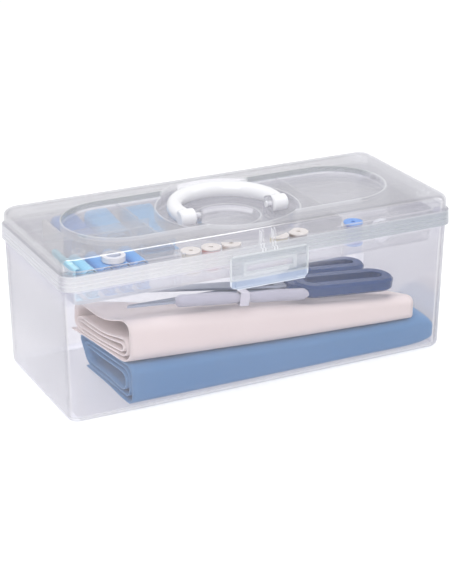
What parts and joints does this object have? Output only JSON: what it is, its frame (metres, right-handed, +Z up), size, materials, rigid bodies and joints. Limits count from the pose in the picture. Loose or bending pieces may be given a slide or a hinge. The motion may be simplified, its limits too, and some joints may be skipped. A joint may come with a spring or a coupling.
{
  "type": "sewing box",
  "caption": "Clear plastic sewing box with hinged lid, fold-down ring handle, snap latch and lift-out divided tray, holding cloth, scissors and thread.",
  "frame": {"origin": "on the table under the middle of the closed box", "axes": "+X along the box's length to the right, +Y to the rear, +Z up; the front with the latch faces -Y"},
  "size_m": [0.33, 0.1478, 0.1318],
  "materials": {
    "frosted": "frosted translucent",
    "clear": "clear, polished",
    "white_plastic": "glossy",
    "blue_cloth": "plain woven cotton",
    "cream_cloth": "plain woven cotton",
    "sky_cloth": "ribbon and cotton",
    "navy_fabric": "plain woven cotton",
    "cyan_cloth": "soft cloth",
    "peach_tape": "woven tape",
    "white_elastic": "woven elastic",
    "navy_plastic": "glossy",
    "steel": "brushed",
    "pin_wheel": "glossy with pins",
    "cream_thread": "wound thread",
    "pink_thread": "wound thread",
    "ivory_thread": "wound thread",
    "yellow_thread": "wound thread",
    "brown_thread": "wound thread",
    "blue_thread": "wound thread"
  },
  "bodies": {
    "base": {"base": "frosted", "blue_cloth": "blue_cloth", "cream_cloth": "cream_cloth", "scissor_blade_lower": "steel", "scissor_blade_upper": "steel", "scissor_grip_large": "navy_plastic", "scissor_grip_small": "navy_plastic", "scissor_screw": "steel", "elastic_hank": "white_elastic", "hank_band": "white_elastic"},
    "lid": {"lid": "clear"},
    "handle": {"handle": "white_plastic"},
    "front_latch": {"front_latch": "clear"},
    "tray": {"blue_ribbon_1": "sky_cloth", "blue_ribbon_2": "sky_cloth", "blue_ribbon_3": "sky_cloth", "blue_ribbon_4": "sky_cloth", "blue_spool": "white_plastic", "blue_thread": "blue_thread", "brown_spool": "white_plastic", "brown_thread": "brown_thread", "cream_spool": "white_plastic", "cream_thread": "cream_thread", "cyan_cloth": "cyan_cloth", "divider_left_front": "frosted", "divider_left_rear": "frosted", "divider_right_front": "frosted", "divider_right_rear": "frosted", "ivory_spool": "white_plastic", "ivory_thread": "ivory_thread", "navy_fabric": "navy_fabric", "peach_tape": "peach_tape", "pin_wheel": "pin_wheel", "pink_spool": "white_plastic", "pink_thread": "pink_thread", "sky_fabric": "sky_cloth", "sky_ribbon": "sky_cloth", "tray": "frosted", "white_tape_roll": "white_elastic", "yellow_spool": "white_plastic", "yellow_thread": "yellow_thread"}
  },
  "joints": [
    {"name": "lid_hinge", "type": "hinge", "parent": "base", "child": "lid", "pos_m": [0, 0.0705, 0.102], "axis": [-1, 0, 0], "range_deg": [0, 110]},
    {"name": "handle_hinge", "type": "hinge", "parent": "lid", "child": "handle", "pos_m": [0, -0.009, 0.125], "axis": [1, 0, 0], "range_deg": [0, 90]},
    {"name": "latch_flex", "type": "hinge", "parent": "lid", "child": "front_latch", "pos_m": [0, -0.0712, 0.1122], "axis": [-1, 0, 0], "range_deg": [0, 75]},
    {"name": "tray_lift", "type": "slide", "parent": "base", "child": "tray", "axis": [0, 0, 1], "range_m": [0, 0.029]}
  ],
  "couplings": [
    {"joint": "tray_lift", "follows": "lid_hinge", "m_per_rad": 0.015}
  ]
}
